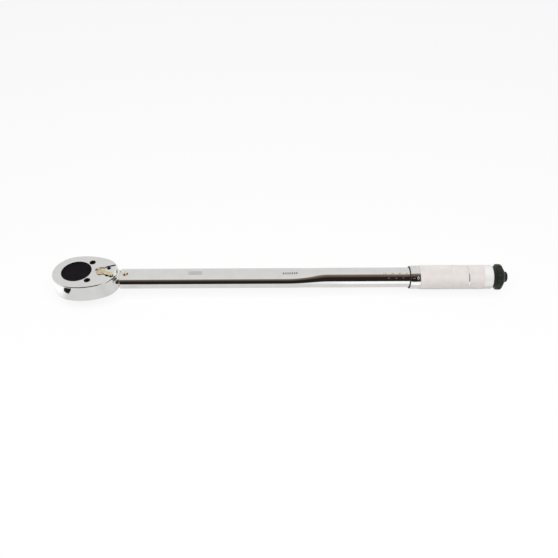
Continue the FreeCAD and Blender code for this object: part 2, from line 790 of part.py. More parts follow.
def pawl():
    """Rocking pawl that turns on the lever's shaft; each wing holds one direction."""
    base = d.plate_top.value + 0.5
    height = d.cavity_top.value - 1.3 - base
    centre = FreeCAD.Vector(d.lever_axis.value, 0, base)
    up = FreeCAD.Vector(0, 0, 1)
    inner, outer = d.gear_tip.value + 0.12, d.gear_tip.value + 3.6
    half_angle = 32
    wings = Part.makeCylinder(outer, height, FreeCAD.Vector(0, 0, base), up, 2 * half_angle)
    wings.rotate(FreeCAD.Vector(), up, -half_angle)
    wings = wings.cut(Part.makeCylinder(inner, height, FreeCAD.Vector(0, 0, base), up))
    hub = Part.makeCylinder(8.2, height, centre, up)
    hub = hub.cut(Part.makeCylinder(d.gear_tip.value + 0.8, height, FreeCAD.Vector(0, 0, base), up))
    blank = wings.fuse(hub)
    blank = blank.cut(Part.makeCylinder(d.shaft_radius.value + 0.1, height, centre, up))
    pocket = Part.makeCylinder(5.25, 4.2, centre + FreeCAD.Vector(0, 0, height / 2 - 2.1), up, 116)
    blank = blank.cut(about_lever(pocket, -58))
    for side in (-1, 1):
        pin = FreeCAD.Vector(
            d.lever_axis.value + d.pin_ahead.value, side * d.pin_spread.value, base
        )
        room = d.stop_pin.value + 0.85
        blank = blank.cut(Part.makeCylinder(room, height, pin, up))
    rock = d.pawl_rock.value
    teeth = gear_teeth_sector(0.08, base - 1, height + 2)
    steps = 19
    for i in range(steps):
        angle = rock - 2 * rock * i / (steps - 1)
        blank = blank.cut(about_lever(teeth, angle))
    at_rest = about_lever(blank, -rock)
    feature = doc.addObject("Part::Feature", "pawl")
    feature.Shape = max(at_rest.Solids, key=lambda s: s.Volume)
    return keep("pawl", feature)


def reverse_lever():
    """Lever on the head's back with its shaft down into the pawl."""
    base = d.lever_floor + 0.15
    angle = d.lever_rest
    neck, tip = beside_lever(d.lever_hub - 0.4), beside_lever(d.lever_reach)
    arm = extruded(
        "lever_arm",
        tapered_slot(new_sketch("XY_Plane", offset=base + 0.45), neck, 2, tip, d.lever_tip),
        d.lever_thick + d.lever_lift - 0.45,
    )
    high = (base + d.lever_thick + d.lever_lift).value
    arm = rounded("lever_arm_soft", arm, sized(0.6), lambda e: e.BoundBox.ZMin > high - 0.01)
    hub = rod("lever_hub", d.lever_hub, d.lever_thick, (d.lever_axis, 0, base))
    crown = (base + d.lever_thick).value
    hub = rounded("lever_hub_soft", hub, sized(0.4), lambda e: e.BoundBox.ZMin > crown - 0.01)
    sunk = (d.lever_axis, 0, base + d.lever_thick - 0.35)
    dish = taper("hub_dish", d.lever_hub - 1.8, d.lever_hub - 1, 0.8, sunk)
    rivet = rod("hub_rivet", 1.5, d.lever_thick - 0.1, (*beside_lever(1.3), base))
    foot = d.plate_top + 0.3
    shaft = rod("lever_shaft", d.shaft_radius, base - foot + 0.5, (d.lever_axis, 0, foot))
    pilot = rod("lever_pilot", 2.5, 2.4, (d.lever_axis, 0, foot - 2))
    hub = joined("lever_hub_dished", [less("lever_hub_rim", hub, [dish]), rivet])
    whole = joined("lever_blank", [arm, hub, shaft, pilot])
    dip = made("Part::Sphere", "tip_dip", Radius=4)
    put(dip, (*tip, base + d.lever_thick + d.lever_lift + 3.4))
    rivet_dip = made("Part::Sphere", "rivet_dip", Radius=1.3)
    put(rivet_dip, (*beside_lever(1.3), base + d.lever_thick + 0.6))
    groove = less(
        "clip_groove",
        rod("groove_out", 6, 0.9, (d.lever_axis, 0, d.cavity_top - 1.05)),
        [rod("groove_in", d.shaft_radius - 0.7, 0.9, (d.lever_axis, 0, d.cavity_top - 1.05))],
    )
    cross = rod("plunger_hole", 1.85, 9, (0, 0, 0))
    facing = FreeCAD.Vector(cosine(angle).value, sine(angle).value, 0)
    flat = FreeCAD.Rotation(FreeCAD.Vector(0, 0, 1), facing)
    put(cross, (*beside_lever(-2.6), plunger_height()), turn=flat)
    return keep("reverse_lever", less("reverse_lever", whole, [dip, rivet_dip, groove, cross]))


def beside_lever(distance):
    """Plan position on the lever's middle line, measured from its axis."""
    angle = d.lever_rest
    return d.lever_axis + distance * cosine(angle), distance * sine(angle)


def plunger_height():
    """Height of the detent plunger, half way up the pawl."""
    return (d.plate_top + d.cavity_top) / 2 - 0.4


def lever_details():
    """Detent plunger, its spring, and the clip that keeps the lever in the head."""
    angle = d.lever_rest
    facing = FreeCAD.Vector(cosine(angle).value, sine(angle).value, 0)
    flat = FreeCAD.Rotation(FreeCAD.Vector(0, 0, 1), facing)

    height = plunger_height()
    stem = rod("plunger_stem", 1.75, 3.6)
    put(stem, (*beside_lever(0.6), height), turn=flat)
    nose = taper("plunger_nose", 1.75, 0.9, 0.8)
    put(nose, (*beside_lever(4.2), height), turn=flat)
    keep("detent_plunger", joined("detent_plunger", [stem, nose]))
    spring = wire_helix("detent_spring", 1.3, 0.25, sized(2.3), 4)
    keep("detent_spring", put(spring, (*beside_lever(-2.2), height), turn=flat))
    ring = rod("clip_disc", 5.9, 0.7, (d.lever_axis, 0, d.cavity_top - 0.95))
    inside = rod("clip_bore", d.shaft_radius - 0.65, 2, (d.lever_axis, 0, d.cavity_top - 2))
    slit = block("clip_slit", (8, 3.6, 3), (d.lever_axis, -1.8, d.cavity_top - 2))
    keep("lever_clip", less("lever_clip", ring, [inside, slit]))


# --- tube ----------------------------------------------------------------------------


def oval_section(place, share, inset):
    """Closed wire round the tube at one place along it.

    share runs from 0 where the tube is flattened to 1 where it is round.  The section is
    four arcs that meet smoothly, and inset moves it inwards.
    """
    wide = d.flat_width.value / 2 * (1 - share) + d.tube_radius.value * share
    tall = d.flat_height.value / 2 * (1 - share) + d.tube_radius.value * share
    lean = math.radians(d.flat_bend.value * (1 - share) + 45 * share)
    reach = (wide - tall) / (math.sin(lean) + math.cos(lean) - 1)
    side_radius = tall - reach * (1 - math.cos(lean))
    side_centre = wide - side_radius
    top_centre = tall - side_radius - reach
    side_radius -= inset
    height = axis_height.value

    def point(centre_y, centre_z, radius, angle):
        y = centre_y + radius * math.sin(angle)
        z = centre_z + radius * math.cos(angle)
        return FreeCAD.Vector(place, y, height + z)

    top_radius = side_radius + reach
    right, left = (side_centre, 0), (-side_centre, 0)
    up, down = (0, top_centre), (0, -top_centre)
    arcs = [
        (up, top_radius, -lean, lean),
        (right, side_radius, lean, math.pi - lean),
        (down, top_radius, math.pi - lean, math.pi + lean),
        (left, side_radius, math.pi + lean, 2 * math.pi - lean),
    ]
    edges = []
    for (cy, cz), radius, start, stop in arcs:
        ends = [point(cy, cz, radius, a) for a in (start, (start + stop) / 2, stop)]
        edges.append(Part.Arc(*ends).toShape())
    return Part.Wire(edges)


def tube_solid(inset, front, rear):
    """The tube's outer or inner shape: flattened in front, swaged, round behind."""
    start, stop = d.swage_front.value, d.swage_rear.value
    sections = 13
    margin = 6

    def share(i):
        t = i / (sections - 1)
        return t * t * (3 - 2 * t)

    wires = [oval_section(start - margin, 0, inset)]
    for i in range(sections):
        wires.append(oval_section(start + (stop - start) * i / (sections - 1), share(i), inset))
    wires.append(oval_section(stop + margin, 1, inset))
    swage = Part.makeLoft(wires, True, False)
    flat = Part.Face(oval_section(front, 0, inset)).extrude(
        FreeCAD.Vector(start - margin - front, 0, 0)
    )
    round_end = Part.Face(oval_section(stop + margin, 1, inset)).extrude(
        FreeCAD.Vector(rear - stop - margin, 0, 0)
    )
    return flat.fuse([swage, round_end])


def barrel_tube():
    """Swaged steel tube: flattened over the shank, round over the spring."""
    front, rear = d.tube_front.value, d.tube_rear.value
    shell = tube_solid(0, front, rear).cut(tube_solid(d.tube_wall.value, front - 1, rear + 1))
    pin_hole = Part.makeCylinder(
        d.pivot_radius.value + 0.02,
        30,
        FreeCAD.Vector(d.pivot_place.value, 0, axis_height.value - 15),
    )
    shell = shell.cut(pin_hole)
    for hole in nut_pin_shapes(d.nut_pin.value + 0.02, 14):
        shell = shell.cut(hole)
    feature = doc.addObject("Part::Feature", "barrel_tube")
    feature.Shape = shell.Solids[0]
    return keep("barrel_tube", feature)


def nut_pin_shapes(radius, outer):
    """Three radial cylinders through the tube into the end nut."""
    shapes = []
    middle = FreeCAD.Vector(d.nut_pin_place.value, 0, axis_height.value)
    for i in range(3):
        angle = math.radians(90 + 120 * i)
        way = FreeCAD.Vector(0, math.cos(angle), math.sin(angle))
        shapes.append(Part.makeCylinder(radius, outer - 7.4, middle + way * 7.4, way))
    return shapes


def nut_pins():
    """Pins that fix the end nut in the tube."""
    feature = doc.addObject("Part::Feature", "nut_pins")
    pins = nut_pin_shapes(d.nut_pin.value, d.tube_radius.value - 0.1)
    feature.Shape = Part.makeCompound(pins)
    return keep("nut_pins", feature)


def pivot_pin():
    """Pin that the shank swings on, with domed ends outside the tube's flats."""
    body = new_body("pivot_pin")
    reach = d.flat_height / 2 + 0.3
    crown = reach + d.pin_dome - d.pin_dome * cosine(sized(60))
    steps = [sized(degrees) for degrees in range(60, 0, -10)]
    rim = [(d.pin_dome * sine(a), crown - d.pin_dome * (1 - cosine(a))) for a in steps]
    upper = [(d.pivot_radius, reach - 0.1), *rim, (0, crown)]
    lower = [(0, -crown), *[(r, -z) for r, z in reversed(rim)], (d.pivot_radius, 0.1 - reach)]
    turned(body, "YZ_Plane", lower + upper)
    put(body, (d.pivot_place, 0, axis_height))
    return body


def end_nut():
    """Threaded nut fixed in the rear end of the tube."""
    body = new_body("end_nut")
    outer = d.tube_radius - d.tube_wall - 0.03
    bore = d.screw_radius + 0.1
    turned(
        body,
        "XZ_Plane",
        [
            (d.tube_rear - 20, bore),
            (d.tube_rear + 1.4, bore),
            (d.tube_rear + 1.4, d.tube_radius - 0.15),
            (d.tube_rear + 0.02, d.tube_radius - 0.15),
            (d.tube_rear + 0.02, outer),
            (d.tube_rear - 20, outer),
        ],
    )
    pin_hole = circle(new_sketch("XY_Plane", body, 7.3), d.nut_pin_place, 0, d.nut_pin + 0.02)
    hole = pocketed(body, pin_hole, 5, back=True)
    doc.recompute()
    repeated(body, hole, "X_Axis", 3)
    return on_axis(body)


# --- click mechanism -----------------------------------------------------------------


def click_block():
    """Block that tips over when the set torque is reached."""
    height = 8.4
    outline = tapered_slot(
        new_sketch("XY_Plane", offset=axis_height - height / 2),
        (d.block_place, 0),
        d.block_nose,
        (d.block_place + d.block_reach, 0),
        d.block_tail,
    )
    return keep("click_block", extruded("click_block", outline, height))


def thrust_plunger():
    """Plunger between the click block and the main spring."""
    body = new_body("thrust_plunger")
    guide = d.tube_radius - d.tube_wall - 0.15
    pilot = d.spring_mean - d.spring_wire - 0.3
    turned(
        body,
        "XZ_Plane",
        [
            (d.plunger_front, 0),
            (d.plunger_front, 3.6),
            (d.plunger_front + 0.8, 4.6),
            (d.plunger_body - 5, 4.9),
            (d.plunger_body, guide - 0.6),
            (d.plunger_body + 0.6, guide),
            (d.plunger_rear, guide),
            (d.plunger_rear, pilot),
            (d.plunger_rear + 9, pilot - 0.3),
            (d.plunger_rear + 9, 0),
        ],
    )
    return on_axis(body)


def main_spring():
    """Compression spring whose load sets the torque."""
    gap = d.seat_front - d.plunger_rear
    spring = ground_spring("main_spring", d.spring_mean, d.spring_wire, gap - 0.2, d.spring_turns)
    put(spring, (d.plunger_rear + 0.1 - d.spring_wire, 0, axis_height), "X")
    return keep("main_spring", spring)


def spring_seat():
    """Seat that carries the main spring's rear end and doesn't turn."""
    body = new_body("spring_seat")
    guide = d.tube_radius - d.tube_wall - 0.15
    pilot = d.spring_mean - d.spring_wire - 0.3
    rear = d.seat_front + 8
    turned(
        body,
        "XZ_Plane",
        [
            (d.seat_front - 8, 0),
            (d.seat_front - 8, pilot - 0.3),
            (d.seat_front, pilot),
            (d.seat_front, guide),
            (rear - 0.6, guide),
            (rear, guide - 0.6),
            (rear, 3.6),
            (rear - 3.2, 0),
        ],
    )
    return on_axis(body)


def thrust_ball():
    """Ball that the adjusting screw pushes on."""
    ball = made("Part::Sphere", "thrust_ball", Radius=3.4)
    put(ball, (d.screw_front - 1.87, 0, axis_height))
    return keep("thrust_ball", ball)


# --- grip and adjusting screw --------------------------------------------------------


def adjusting_screw():
    """Screw that turns with the grip and loads the spring."""
    body = new_body("adjusting_screw")
    rear = d.grip_rear
    turned(
        body,
        "XZ_Plane",
        [
            (d.screw_front + 2.4, 0),
            (d.screw_front, 3.2),
            (d.screw_front, 4.4),
            (d.screw_front + 1.2, 5),
            (d.screw_front + 5, 5),
            (d.screw_front + 6, d.screw_radius),
            (rear - 9, d.screw_radius),
            (rear - 9, 8),
            (rear - 3.25, 8),
            (rear - 3.25, 4.9),
            (rear + 0.1, 4.9),
            (rear + 0.1, 4),
            (rear + 4.6, 4),
            (rear + 5, 3.6),
            (rear + 5, 2.58),
            (rear - 14, 2.58),
            (rear - 14, 2.1),
            (rear - 45, 2.1),
            (rear - 46.2, 0),
        ],
    )
    on_axis(body)
    doc.recompute()
    slot = new_sketch("XZ_Plane", body, -0.6)
    polygon(
        slot,
        [
            (rear - 46, -d.screw_radius - 1),
            (rear - 30, -d.screw_radius - 1),
            (rear - 30, d.screw_radius + 1),
            (rear - 46, d.screw_radius + 1),
        ],
    )
    pocketed(body, slot, 1.2, back=True)
    return body


def grip_sleeve():
    """Sleeve with a scale collar, knurled bands and a smooth end."""
    body = new_body("grip_sleeve")
    rear = d.grip_rear
    band = d.knurl_radius
    low = band - d.groove_deep
    corners = [
        (d.grip_front, d.grip_bore + 1.05),
        (d.grip_front + 1.6, d.collar_radius),
        (d.knurl_start - 0.7, d.collar_radius),
        (d.knurl_start, band),
    ]
    for middle in (d.groove_one, d.groove_two):
        corners += [
            (middle - d.groove_half, band),
            (middle - d.groove_half + 0.4, low),
            (middle + d.groove_half - 0.4, low),
            (middle + d.groove_half, band),
        ]
    corners += [
        (d.knurl_end, band),
        (d.knurl_end + 0.5, band - 0.3),
        (rear - 1.2, band - 0.3),
        (rear, band - 1.3),
        (rear, 5),
        (rear - 3.2, 5),
        (rear - 3.2, d.grip_bore),
        (d.grip_front + 2.2, d.grip_bore),
        (d.grip_front + 2.2, d.grip_bore + 0.9),
        (d.grip_front, d.grip_bore + 0.9),
    ]
    turned(body, "XZ_Plane", corners)
    return on_axis(body)


def grip_seal():
    """Rubber wiper in the grip's mouth."""
    body = new_body("grip_seal")
    inner, outer = d.tube_radius + 0.06, d.grip_bore + 0.86
    lip = d.grip_front - d.seal_reach
    turned(
        body,
        "XZ_Plane",
        [
            (lip, inner),
            (d.grip_front + 2.1, inner),
            (d.grip_front + 2.1, outer),
            (d.grip_front - 0.1, outer),
            (d.grip_front - 0.1, outer + 0.25),
            (lip + 0.3, outer + 0.25),
            (lip, outer),
        ],
    )
    return on_axis(body)


def screw_nut():
    """Nut that clamps the adjusting screw in the grip's rear wall."""
    nut = doc.addObject("Part::Prism", "nut_hexagon")
    nut.Polygon = 6
    nut.Circumradius = 7.2
    bind(nut, "Height", 3)
    put(nut, (d.grip_rear + 0.9, 0, axis_height), "X")
    bore = rod("nut_bore", 4.03, 6, (d.grip_rear, 0, axis_height), "X")
    return keep("screw_nut", less("screw_nut", nut, [bore]))


def nut_washer():
    """Plain washer under the nut."""
    disc = rod("washer_disc", 7.6, 0.8, (d.grip_rear + 0.05, 0, axis_height), "X")
    bore = rod("washer_bore", 4.95, 2, (d.grip_rear - 0.5, 0, axis_height), "X")
    return keep("nut_washer", less("nut_washer", disc, [bore]))


# --- lock ----------------------------------------------------------------------------


def lock_rod():
    """Rod inside the adjusting screw whose taper spreads the screw's slotted part."""
    body = new_body("lock_rod")
    rear = d.grip_rear - 13
    front = d.grip_rear - 44.4
    turned(
        body,
        "XZ_Plane",
        [(front, 0), (front, 1.1), (front + 2.5, 2), (rear, 2), (rear, 0)],
    )
    return on_axis(body)


def lock_stud():
    """Screw in the knob that pushes the rod."""
    body = new_body("lock_stud")
    front = d.grip_rear - 12.7
    rear = d.knob_rear
    turned(
        body,
        "XZ_Plane",
        [
            (front, 0),
            (front, 2.1),
            (front + 0.4, 2.5),
            (rear - 4.4, 2.5),
            (rear - 4.4, 4.2),
            (rear - 1.4, 4.2),
            (rear - 1.4, 0),
        ],
    )
    return on_axis(body)


def lock_knob():
    """Lobed plastic knob that locks the setting."""
    body = new_body("lock_knob")
    front, rear = d.knob_front, d.knob_rear
    turned(
        body,
        "XZ_Plane",
        [
            (front, 8.9),
            (front, 11.4),
            (front + 2.6, 11.4),
            (front + 4, d.knob_radius),
            (front + 8.2, d.knob_radius),
            (front + 8.7, d.knob_radius - 0.9),
            (front + 9.3, d.knob_radius - 1.2),
            (rear, d.plug_radius + 0.7),
            (rear, 4.25),
            (rear - 4.45, 4.25),
            (rear - 4.45, 2.53),
            (front + 5.2, 2.53),
            (front + 5.2, 8.9),
        ],
    )
    doc.recompute()
    lobe = circle(new_sketch("YZ_Plane", body, front + 2), 0, d.knob_radius + 2.1, 3)
    scoop = pocketed(body, lobe, rear - front, back=True)
    doc.recompute()
    repeated(body, scoop, "X_Axis", int(d.knob_lobes.value))
    return on_axis(body)


def knob_plug():
    """Plug that closes the knob over the stud's head."""
    body = new_body("knob_plug")
    rear = d.plug_rear
    turned(
        body,
        "XZ_Plane",
        [
            (d.knob_rear - 1.35, 0),
            (d.knob_rear - 1.35, 4.2),
            (d.knob_rear + 0.02, 4.2),
            (d.knob_rear + 0.02, d.plug_radius),
            (rear - 1.3, d.plug_radius),
            (rear - 0.5, d.plug_radius - 0.9),
            (rear, d.plug_radius - 2.4),
            (rear, 0),
        ],
    )
    return on_axis(body)


def build():
    """Makes every sub-part."""
    ratchet_head()
    cover_plate()
    cover_screws()
    stop_pins()
    drive_gear()
    ball_and_spring()
    pawl()
    reverse_lever()
    lever_details()
    barrel_tube()
    pivot_pin()
    end_nut()
    nut_pins()
    click_block()
    thrust_plunger()
    main_spring()
    spring_seat()
    thrust_ball()
    adjusting_screw()
    grip_sleeve()
    grip_seal()
    nut_washer()
    screw_nut()
    lock_rod()
    lock_stud()
    lock_knob()
    knob_plug()


def check_and_write():
    """Stops at a failed object, then writes one STEP file for each sub-part."""
    doc.recompute()
    failed = [o.Name for o in doc.Objects if {"Invalid", "Error"} & set(o.State)]
    if failed:
        raise SystemExit(f"failed objects: {failed}")
    os.makedirs("parts", exist_ok=True)
    for part in sub_parts:
        shape = part.Shape
        if shape.isNull() or not shape.isValid() or not shape.Solids:
            raise SystemExit(f"{part.Label} has no valid solid")
        shape.exportStep(f"parts/{part.Label}.step")
        print(part.Label, len(shape.Solids), round(shape.Volume, 1))


build()
check_and_write()
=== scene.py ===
"""Looks of the click-type torque wrench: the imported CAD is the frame, in metres.

+X runs from the drive to the grip, +Z away from the socket, and the origin is the middle
of the drive square's end face.
"""

import json
import math

import bpy
from mathutils import Matrix, Vector

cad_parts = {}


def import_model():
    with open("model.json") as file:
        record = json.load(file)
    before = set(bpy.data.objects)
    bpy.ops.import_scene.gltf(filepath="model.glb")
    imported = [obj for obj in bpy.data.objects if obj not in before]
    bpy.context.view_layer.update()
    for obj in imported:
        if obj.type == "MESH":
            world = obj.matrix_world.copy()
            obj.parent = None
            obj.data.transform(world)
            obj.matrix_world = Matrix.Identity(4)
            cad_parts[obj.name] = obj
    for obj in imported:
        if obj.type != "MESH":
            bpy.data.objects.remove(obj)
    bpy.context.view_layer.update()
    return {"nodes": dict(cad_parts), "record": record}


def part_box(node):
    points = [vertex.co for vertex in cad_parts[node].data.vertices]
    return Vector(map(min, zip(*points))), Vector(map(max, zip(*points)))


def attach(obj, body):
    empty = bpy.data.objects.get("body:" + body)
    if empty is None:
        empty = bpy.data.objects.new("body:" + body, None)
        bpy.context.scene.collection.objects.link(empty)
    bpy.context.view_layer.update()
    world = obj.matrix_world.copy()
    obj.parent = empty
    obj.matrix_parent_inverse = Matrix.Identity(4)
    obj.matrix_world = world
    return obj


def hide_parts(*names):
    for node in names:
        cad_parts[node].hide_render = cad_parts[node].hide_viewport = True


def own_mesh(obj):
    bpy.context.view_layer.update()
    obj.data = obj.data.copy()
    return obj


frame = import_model()
nodes = frame["nodes"]
MM = 0.001

# The tube's axis runs along X through this point.
TUBE_LOW, TUBE_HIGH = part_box("barrel_tube")
AXIS = Vector((0, (TUBE_LOW.y + TUBE_HIGH.y) / 2, (TUBE_LOW.z + TUBE_HIGH.z) / 2))


# --- shader helpers ------------------------------------------------------------------


class Nodes:
    """A node tree, with short ways to add nodes, links, ramps and arithmetic."""

    def __init__(self, tree):
        self.tree = tree

    def node(self, kind, **settings):
        made = self.tree.nodes.new(kind)
        for key, value in settings.items():
            if key in made.inputs:
                made.inputs[key].default_value = value
            else:
                setattr(made, key, value)
        return made

    def feed(self, source, target):
        """Gives an input a constant or another node's output."""
        if isinstance(source, (int, float, tuple)):
            target.default_value = source
        else:
            self.tree.links.new(source, target)

    def ramp(self, factor, stops):
        made = self.node("ShaderNodeValToRGB")
        band = made.color_ramp
        while len(band.elements) < len(stops):
            band.elements.new(0.5)
        for element, (spot, colour) in zip(band.elements, stops):
            element.position = spot
            element.color = (*colour, 1)
        self.feed(factor, made.inputs["Fac"])
        return made.outputs["Color"]

    def span(self, factor, low_value, high_value, start=0.3, stop=0.7):
        """Maps start to stop onto low_value to high_value."""
        made = self.node("ShaderNodeMapRange")
        ends = {"From Min": start, "From Max": stop, "To Min": low_value, "To Max": high_value}
        for key, value in ends.items():
            made.inputs[key].default_value = value
        self.feed(factor, made.inputs["Value"])
        return made.outputs["Result"]

    def calculate(self, operation, *sources):
        made = self.node("ShaderNodeMath", operation=operation)
        for source, target in zip(sources, made.inputs):
            self.feed(source, target)
        return made.outputs[0]

    def dimmed(self, rays, share):
        """1, or less by share on the rays that light matt surfaces."""
        return self.calculate("MULTIPLY_ADD", rays.outputs["Is Diffuse Ray"], -share, 1)


class Shader(Nodes):
    """A material's node tree with a Principled shader and object coordinates."""

    def __init__(self, name):
        self.material = bpy.data.materials.new(name)
        self.material.use_nodes = True
        super().__init__(self.material.node_tree)
        self.out = self.tree.nodes["Principled BSDF"]
        self.place = self.node("ShaderNodeTexCoord").outputs["Object"]

    def stretched(self, x, y, z):
        mapping = self.node("ShaderNodeMapping")
        mapping.inputs["Scale"].default_value = (x, y, z)
        self.feed(self.place, mapping.inputs["Vector"])
        return mapping.outputs["Vector"]

    def noise(self, scale, detail, vector=None):
        made = self.node("ShaderNodeTexNoise", Scale=scale, Detail=detail, Roughness=0.55)
        self.feed(vector or self.place, made.inputs["Vector"])
        return made.outputs["Fac"]

    def paint(self, colour):
        self.feed(colour, self.out.inputs["Base Color"])

    def gloss(self, rough):
        self.feed(rough, self.out.inputs["Roughness"])

    def bump(self, height, distance):
        made = self.node("ShaderNodeBump", Strength=1.0, Distance=distance)
        self.feed(height, made.inputs["Height"])
        self.feed(made.outputs["Normal"], self.out.inputs["Normal"])

    def set(self, **values):
        for key, value in values.items():
            self.out.inputs[key.replace("_", " ")].default_value = value


def tints(colour, spread):
    """Two neighbours of a colour, one darker and one lighter."""
    dark = tuple(c * (1 - spread) for c in colour)
    light = tuple(min(1, c * (1 + spread)) for c in colour)
    return dark, light


def metal(name, colour, rough, rough_high, spread=0.03, grain=(1, 1, 1), scale=700, wave=0):
    """Plated or machined metal: clouds vary its tint, and a stretched grain its gloss."""
    s = Shader(name)
    s.set(Metallic=1.0)
    dark, light = tints(colour, spread)
    s.paint(s.ramp(s.noise(scale=90, detail=5), [(0.3, dark), (0.7, light)]))
    fine = s.noise(scale, detail=3, vector=s.stretched(*grain))
    s.gloss(s.span(fine, rough, rough_high))
    if wave:
        s.bump(fine, wave)
    return s.material


def satin(name, colour):
    """Bead-blasted chrome: part mirror, part soft white scatter."""
    s = Shader(name)
    s.set(Metallic=0.3)
    dark, light = tints(colour, 0.03)
    s.paint(s.ramp(s.noise(scale=120, detail=5), [(0.3, dark), (0.7, light)]))
    fine = s.noise(scale=1800, detail=3)
    s.gloss(s.span(fine, 0.36, 0.5))
    s.bump(fine, distance=0.00001)
    return s.material


def plastic(name, colour, rough, grit):
    """Moulded plastic or rubber with a fine spark-eroded grain."""
    s = Shader(name)
    dark, light = tints(colour, 0.25)
    s.paint(s.ramp(s.noise(scale=300, detail=5), [(0.35, dark), (0.65, light)]))
    fine = s.noise(scale=2600, detail=3)
    s.gloss(s.span(fine, rough, rough + 0.18))
    s.bump(fine, grit)
    s.set(IOR=1.4)
    return s.material


def black_oxide(name, rough):
    """Blackened steel with slightly paler, purplish patches."""
    s = Shader(name)
    colours = [
        (0.3, (0.003, 0.002, 0.003)),
        (0.55, (0.006, 0.004, 0.006)),
        (0.8, (0.01, 0.008, 0.009)),
    ]
    s.paint(s.ramp(s.noise(scale=160, detail=6), colours))
    fine = s.noise(scale=1500, detail=4)
    s.gloss(s.span(fine, rough, rough + 0.15))
    s.bump(fine, distance=0.00002)
    s.set(IOR=1.2, Specular_IOR_Level=0.3)
    return s.material


MATERIALS = {
    "head_chrome": metal("head_chrome", (0.875, 0.875, 0.865), 0.035, 0.09),
    "tube_chrome": metal("tube_chrome", (0.885, 0.885, 0.87), 0.03, 0.07, grain=(0.05, 1, 1)),
    "grip_chrome": satin("grip_chrome", (0.93, 0.885, 0.865)),
    "end_chrome": satin("end_chrome", (0.97, 0.975, 0.955)),
    "plate_steel": metal(
        "plate_steel", (0.6, 0.6, 0.6), 0.22, 0.4, 0.08, grain=(0.04, 1, 1), scale=1800, wave=0.00001
    ),
    "bearing_steel": metal("bearing_steel", (0.78, 0.78, 0.79), 0.06, 0.12),
    "spring_steel": metal("spring_steel", (0.35, 0.35, 0.37), 0.25, 0.4, 0.15),
    "inner_steel": metal("inner_steel", (0.5, 0.49, 0.48), 0.25, 0.42, 0.12, scale=1200),
    # The lever's gold-brown tint and its strong blotchy spread are painted reflection: tan
    # surroundings mirrored in its plating.
    "lever_nickel": metal("lever_nickel", (0.88, 0.68, 0.47), 0.08, 0.2, 0.3),
    # The pin's warm tint is painted reflection: tan surroundings mirrored in its domed head.
    "pin_nickel": metal("pin_nickel", (0.9, 0.76, 0.62), 0.1, 0.2, 0.08),
    "mark_etch": metal("mark_etch", (0.42, 0.4, 0.39), 0.5, 0.7, 0.1),
    "mark_paint": plastic("mark_paint", (0.8, 0.74, 0.73), 0.5, 0.00001),
    "black_oxide": black_oxide("black_oxide", 0.4),
    "gear_black": black_oxide("gear_black", 0.38),
    "seal_rubber": plastic("seal_rubber", (0.012, 0.012, 0.012), 0.5, 0.00003),
    "knob_plastic": plastic("knob_plastic", (0.013, 0.016, 0.011), 0.36, 0.00004),
    "plug_plastic": plastic("plug_plastic", (0.012, 0.014, 0.013), 0.42, 0.00004),
}


# --- pieces --------------------------------------------------------------------------


def placed(name, data):
    """A new object in the scene."""
    obj = bpy.data.objects.new(name, data)
    bpy.context.scene.collection.objects.link(obj)
    return obj


def finished(obj, slot, angle=32):
    """Gives an object its material and its shading, sharp above angle in degrees."""
    obj.data.materials.clear()
    obj.data.materials.append(MATERIALS[slot])
    obj.data.polygons.foreach_set("use_smooth", [True] * len(obj.data.polygons))
    obj.data.set_sharp_from_angle(angle=math.radians(angle))
    return obj


def piece(name, verts, faces, slot, body, angle):
    """A visual piece made from points in the row frame."""
    mesh = bpy.data.meshes.new(name)
    mesh.from_pydata(verts, [], faces)
    mesh.validate()
    obj = finished(placed(name, mesh), slot, angle)
    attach(obj, body)
    return obj


def dress_cad():
    """Finishes every CAD node with its own slot's material."""
    for part in frame["record"]["subparts"]:
        cad_node = finished(nodes[part["node"]], part["material_slot"])
        weights = cad_node.modifiers.new("flat faces", "WEIGHTED_NORMAL")
        weights.keep_sharp = True


# The chamfer round the gear in the head's top, painted dark as shade: its outer radius and its
# greatest depth, with a margin that keeps the top face itself out of it.
BORE_MOUTH, BORE_DEPTH, MARGIN = 0.0174, 0.0006, 0.00001


def blacken_bore_mouth():
    """Paints the narrow chamfer round the gear with the gear's black oxide: painted shade in the gap
    round the gear.
    """
    head = nodes["ratchet_head"]
    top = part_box("ratchet_head")[1].z
    head.data.materials.append(MATERIALS["gear_black"])
    for polygon in head.data.polygons:
        centre = head.matrix_world @ polygon.center
        level = top - BORE_DEPTH < centre.z < top - MARGIN
        if level and math.hypot(centre.x, centre.y) < BORE_MOUTH:
            polygon.material_index = 1


dress_cad()
blacken_bore_mouth()


# --- shapes round the tube's axis ----------------------------------------------------


def stitched(rings, split=None):
    """Quads between neighbouring rings; split(i, j) picks triangles and their diagonal."""
    count = len(rings[0])
    verts = [p for ring in rings for p in ring]
    faces = []
    for j in range(len(rings) - 1):
        for i in range(count):
            k = (i + 1) % count
            a, b = j * count + i, j * count + k
            c, e = (j + 1) * count + k, (j + 1) * count + i
            way = split(i, j) if split else 0
            if way == 0:
                faces.append((a, b, c, e))
            elif way == 1:
                faces += [(a, b, c), (a, c, e)]
            else:
                faces += [(a, b, e), (b, c, e)]
    return verts, faces


def round_ring(x, radii):
    """Points round the axis at one station, in millimetres; radii has one value a point."""
    count = len(radii)
    ring = []
    for i, radius in enumerate(radii):
        angle = 2 * math.pi * i / count
        offset = Vector((x, radius * math.sin(angle), radius * math.cos(angle))) * MM
        ring.append(AXIS + offset)
    return ring


# --- barrel tube ---------------------------------------------------------------------

# Millimetres: the round radius, the wall, the flattened width and height, the swage's ends.
TUBE_RADIUS, TUBE_WALL = 10.75, 1.8
FLAT_WIDTH, FLAT_HEIGHT = 25.1, 14.6
SWAGE_FRONT, SWAGE_REAR = 226.5, 272
# Half of the angle that the upper arc spans, in degrees, flattened and round.
FLAT_LEAN, ROUND_LEAN = 1.1, 45
# How far the lips are eased outside, first and last, and inside.
LIP_FIRST, LIP_LAST, INNER_LIP = 0.1, 0.35, 0.2


